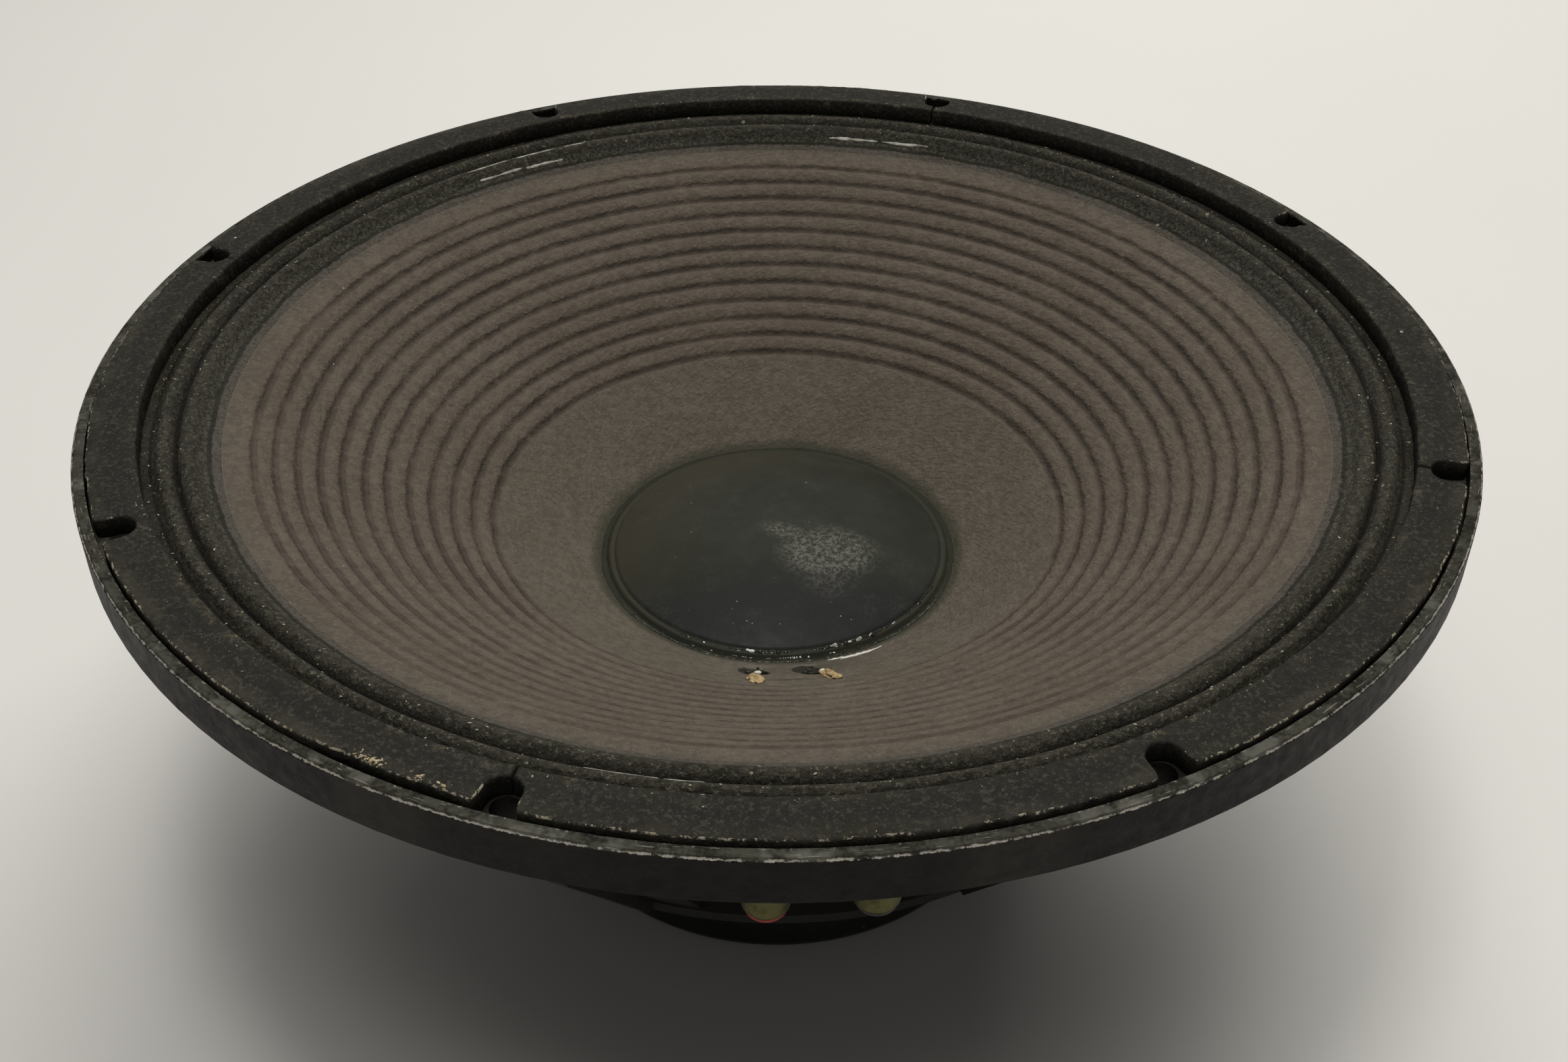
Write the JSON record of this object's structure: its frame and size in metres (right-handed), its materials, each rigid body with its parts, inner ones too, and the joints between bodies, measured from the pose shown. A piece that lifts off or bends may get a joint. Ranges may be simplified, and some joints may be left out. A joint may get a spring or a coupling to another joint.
{
  "type": "loudspeaker driver",
  "caption": "Bare moving-coil bass loudspeaker driver: ribbed paper cone with dust cap in a cast frame, on a pot magnet, with spring push terminals.",
  "frame": {"origin": "centre of the magnet's back face, which the driver stands on", "axes": "+Z along the driver's axis out of the cone's mouth; the push terminals are on the -Y side; a mounting hole lies 22.5 degrees to each side of +X and +Y"},
  "size_m": [0.3889, 0.389, 0.1681],
  "materials": {
    "frame_casting": "satin black paint over cast aluminium, worn at the lip",
    "gasket_foam": "matt charcoal, worn pale at its edges",
    "surround_cloth": "doped cloth, matt with wet-looking patches",
    "cone_paper": "felted pulp, matt",
    "cap_doped": "doped black, satin",
    "adhesive_black": "glossy black adhesive",
    "adhesive_tan": "dried tan adhesive",
    "former_polyimide": "amber film",
    "winding_aluminium": "enamelled ribbon wire",
    "spider_cloth": "resin-treated cloth",
    "magnet_paint": "semi-gloss black paint",
    "bright_steel": "turned steel",
    "magnet_metal": "ground magnet alloy",
    "screw_steel": "zinc plated",
    "eyelet_brass": "tarnished",
    "terminal_nickel": "nickel plate, dulled",
    "terminal_fibre": "black fibre",
    "tip_red": "red plastic",
    "tip_black": "black plastic",
    "tinsel_copper": "braided tinsel wire"
  },
  "bodies": {
    "frame": {"basket_frame": "frame_casting", "gasket_segment_a": "gasket_foam", "gasket_segment_b": "gasket_foam", "gasket_segment_c": "gasket_foam", "gasket_segment_d": "gasket_foam", "surround": "surround_cloth", "spider": "spider_cloth", "top_plate": "magnet_paint", "magnet_pot": "magnet_paint", "pole_piece": "bright_steel", "magnet_slug": "magnet_metal", "frame_screws": "screw_steel", "terminal_retaining_rings": "terminal_nickel", "tinsel_lead_red": "tinsel_copper", "tinsel_lead_black": "tinsel_copper", "terminal_post_red": "terminal_nickel", "terminal_insulators_red": "terminal_fibre", "terminal_lug_red": "terminal_nickel", "terminal_nut_red": "terminal_nickel", "terminal_spring_red": "screw_steel", "terminal_post_black": "terminal_nickel", "terminal_insulators_black": "terminal_fibre", "terminal_lug_black": "terminal_nickel", "terminal_nut_black": "terminal_nickel", "terminal_spring_black": "screw_steel"},
    "diaphragm": {"cone": "cone_paper", "dust_cap": "cap_doped", "dust_cap_bead": "adhesive_black", "voice_coil_former": "former_polyimide", "voice_coil_winding": "winding_aluminium", "coil_lead_outs": "winding_aluminium", "lead_eyelets": "eyelet_brass", "eyelet_adhesive": "adhesive_tan"},
    "red_button": {"terminal_sleeve_red": "terminal_nickel", "terminal_tip_red": "tip_red"},
    "black_button": {"terminal_sleeve_black": "terminal_nickel", "terminal_tip_black": "tip_black"}
  },
  "joints": [
    {"name": "cone_travel", "type": "slide", "parent": "frame", "child": "diaphragm", "axis": [0, 0, 1], "range_m": [-0.008, 0.008], "stiffness_N_per_m": 4000, "springref_m": 0.0003, "deforming": ["surround", "spider", "tinsel_lead_red", "tinsel_lead_black"]},
    {"name": "red_terminal_press", "type": "slide", "parent": "frame", "child": "red_button", "axis": [0, 0, 1], "range_m": [0, 0.003], "stiffness_N_per_m": 1200, "springref_m": -0.002, "deforming": ["terminal_spring_red"]},
    {"name": "black_terminal_press", "type": "slide", "parent": "frame", "child": "black_button", "axis": [0, 0, 1], "range_m": [0, 0.003], "stiffness_N_per_m": 1200, "springref_m": -0.002, "deforming": ["terminal_spring_black"]}
  ]
}
